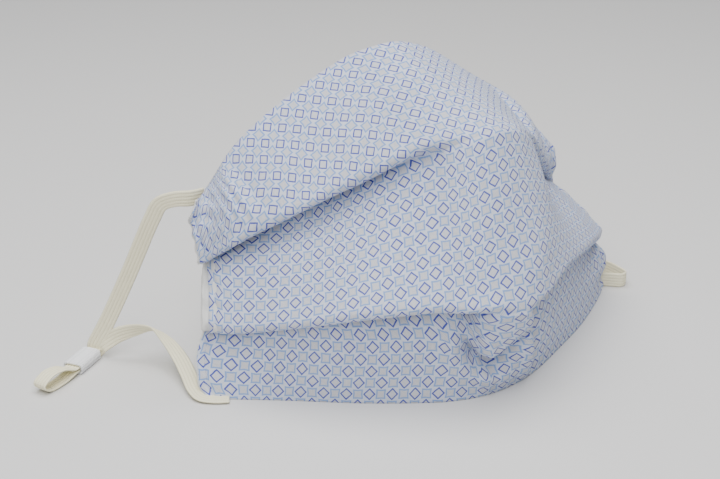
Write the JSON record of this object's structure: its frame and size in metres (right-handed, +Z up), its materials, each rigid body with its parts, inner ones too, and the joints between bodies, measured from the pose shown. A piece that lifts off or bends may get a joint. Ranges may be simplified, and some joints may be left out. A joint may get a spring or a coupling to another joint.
{
  "type": "pleated cloth face mask",
  "caption": "Pleated cloth face mask with a white lining, standing open on its bottom hem, and an elastic ear loop with a sliding adjuster at each side.",
  "frame": {"origin": "middle of the outer cloth's bottom hem, on the surface that the mask stands on", "axes": "+X along the mask from left to right as seen from the front, +Y from the front into the hollow, +Z up"},
  "size_m": [0.2594, 0.1521, 0.121],
  "materials": {
    "printed_cotton": "matte",
    "white_cotton": "matte",
    "elastic": "matte",
    "adjuster_webbing": "matte"
  },
  "bodies": {
    "root": {"outer_cloth": "printed_cotton", "lining": "white_cotton", "ear_loop_left": "elastic", "ear_loop_right": "elastic", "adjuster_left": "adjuster_webbing", "adjuster_right": "adjuster_webbing"}
  },
  "joints": []
}
